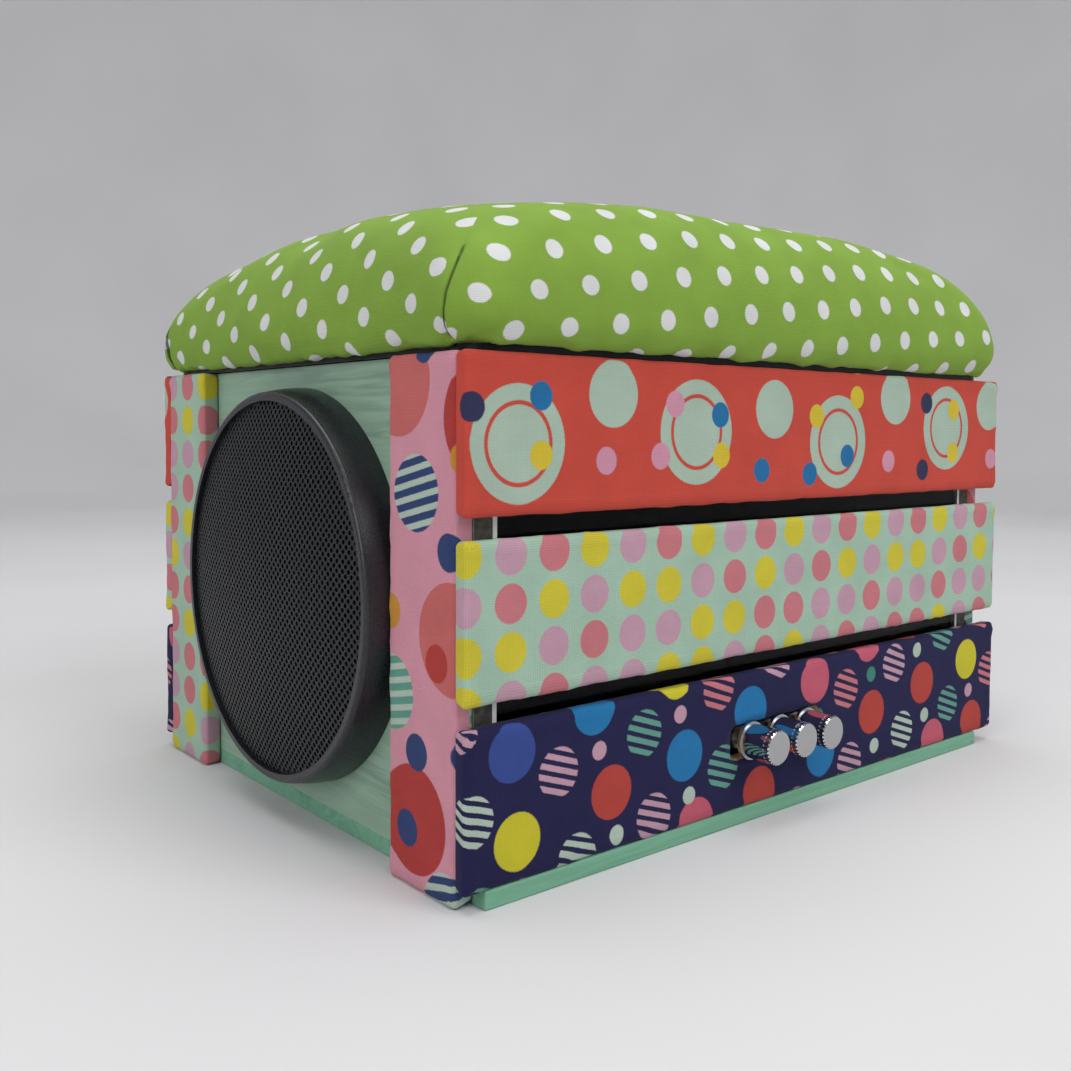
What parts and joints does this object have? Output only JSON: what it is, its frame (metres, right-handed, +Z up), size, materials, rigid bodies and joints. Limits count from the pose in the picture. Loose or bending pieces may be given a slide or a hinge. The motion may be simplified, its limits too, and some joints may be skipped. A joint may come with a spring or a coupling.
{
  "type": "crate loudspeaker with padded lid",
  "caption": "Tabletop stereo loudspeaker in a slatted crate covered in dotted fabric, with round side grilles, knobs at the front and a hinged padded lid.",
  "frame": {"origin": "centre of the base board's underside", "axes": "+X to the right along the front, +Y to the rear, +Z up; the knobs face -Y"},
  "size_m": [0.3684, 0.2887, 0.2607],
  "materials": {
    "mint_wood": "mint stained softwood, matt",
    "mint_washed_wood": "mint wash over visible grain, matt",
    "bare_wood": "planed softwood",
    "pink_dotted_fabric": "pink cotton with coloured dots",
    "mint_dotted_fabric": "mint cotton with rows of dots",
    "navy_dotted_fabric": "navy cotton with coloured dots",
    "red_dotted_fabric": "red cotton with coloured dots",
    "clear_sheet": "clear acrylic sheet",
    "black_sheet": "black board, matt",
    "black_pressed_steel": "black painted pressed steel",
    "magnet_steel": "ferrite and plated steel",
    "cone_paper": "dark pressed paper",
    "suspension_rubber": "black rubber",
    "tweeter_plastic": "dark plastic",
    "grille_plastic": "satin dark grey plastic",
    "grille_mesh_metal": "black expanded metal mesh",
    "dark_screws": "black zinc",
    "plated_controls": "nickel plated steel",
    "steel_shaft": "turned steel",
    "knob_metal": "polished sides and a satin face",
    "circuit_board": "green circuit board",
    "board_parts": "black parts",
    "battery_wrap": "blue shrink wrap",
    "black_plastic": "black plastic",
    "lead_insulation": "red wire insulation",
    "lid_foam": "cream foam",
    "green_dotted_fabric": "green cotton with white dots",
    "hinge_brass": "brassed steel"
  },
  "bodies": {
    "crate": {"base_board": "mint_wood", "left_end_panel": "mint_washed_wood", "right_end_panel": "mint_washed_wood", "front_left_post": "bare_wood", "front_left_post_cover": "pink_dotted_fabric", "front_right_post": "bare_wood", "front_right_post_cover": "pink_dotted_fabric", "rear_left_post": "bare_wood", "rear_left_post_cover": "mint_dotted_fabric", "rear_right_post": "bare_wood", "rear_right_post_cover": "mint_dotted_fabric", "front_bottom_slat": "bare_wood", "front_bottom_slat_cover": "navy_dotted_fabric", "front_middle_slat": "bare_wood", "front_middle_slat_cover": "mint_dotted_fabric", "front_top_slat": "bare_wood", "front_top_slat_cover": "red_dotted_fabric", "rear_bottom_slat": "bare_wood", "rear_bottom_slat_cover": "navy_dotted_fabric", "rear_middle_slat": "bare_wood", "rear_middle_slat_cover": "mint_dotted_fabric", "rear_top_slat": "bare_wood", "rear_top_slat_cover": "red_dotted_fabric", "front_window": "clear_sheet", "rear_panel": "black_sheet", "left_speaker_basket": "black_pressed_steel", "left_magnet": "magnet_steel", "left_suspension": "suspension_rubber", "left_tweeter": "tweeter_plastic", "left_grille_ring": "grille_plastic", "left_grille_mesh": "grille_mesh_metal", "right_speaker_basket": "black_pressed_steel", "right_magnet": "magnet_steel", "right_suspension": "suspension_rubber", "right_tweeter": "tweeter_plastic", "right_grille_ring": "grille_plastic", "right_grille_mesh": "grille_mesh_metal", "case_screws": "dark_screws", "potentiometers": "plated_controls", "amplifier_board": "circuit_board", "amplifier_parts": "board_parts", "battery_pack": "battery_wrap", "power_inlet": "black_plastic", "internal_leads": "lead_insulation", "hinge_case_leaves": "hinge_brass", "hinge_pins": "hinge_brass"},
    "lid": {"lid_board": "bare_wood", "lid_foam": "lid_foam", "lid_cover": "green_dotted_fabric", "lid_lining": "black_sheet", "hinge_lid_leaves": "hinge_brass", "lid_hinge_screws": "hinge_brass"},
    "volume_control": {"volume_knob": "knob_metal", "volume_shaft": "steel_shaft"},
    "bass_control": {"bass_knob": "knob_metal", "bass_shaft": "steel_shaft"},
    "treble_control": {"treble_knob": "knob_metal", "treble_shaft": "steel_shaft"},
    "left_cone_assembly": {"left_cone": "cone_paper"},
    "right_cone_assembly": {"right_cone": "cone_paper"}
  },
  "joints": [
    {"name": "lid_hinge", "type": "hinge", "parent": "crate", "child": "lid", "pos_m": [0, 0.136, 0.194], "axis": [-1, 0, 0], "range_deg": [0, 110]},
    {"name": "volume_turn", "type": "hinge", "parent": "crate", "child": "volume_control", "pos_m": [-0.0237, -0.14, 0.03545], "axis": [0, -1, 0], "range_deg": [-150, 150]},
    {"name": "bass_turn", "type": "hinge", "parent": "crate", "child": "bass_control", "pos_m": [-0.005, -0.14, 0.03545], "axis": [0, -1, 0], "range_deg": [-150, 150]},
    {"name": "treble_turn", "type": "hinge", "parent": "crate", "child": "treble_control", "pos_m": [0.0137, -0.14, 0.03545], "axis": [0, -1, 0], "range_deg": [-150, 150]},
    {"name": "left_cone_stroke", "type": "slide", "parent": "crate", "child": "left_cone_assembly", "axis": [-1, 0, 0], "range_m": [-0.0025, 0.0025], "stiffness_N_per_m": 2000, "deforming": ["left_suspension"]},
    {"name": "right_cone_stroke", "type": "slide", "parent": "crate", "child": "right_cone_assembly", "axis": [1, 0, 0], "range_m": [-0.0025, 0.0025], "stiffness_N_per_m": 2000, "deforming": ["right_suspension"]}
  ]
}
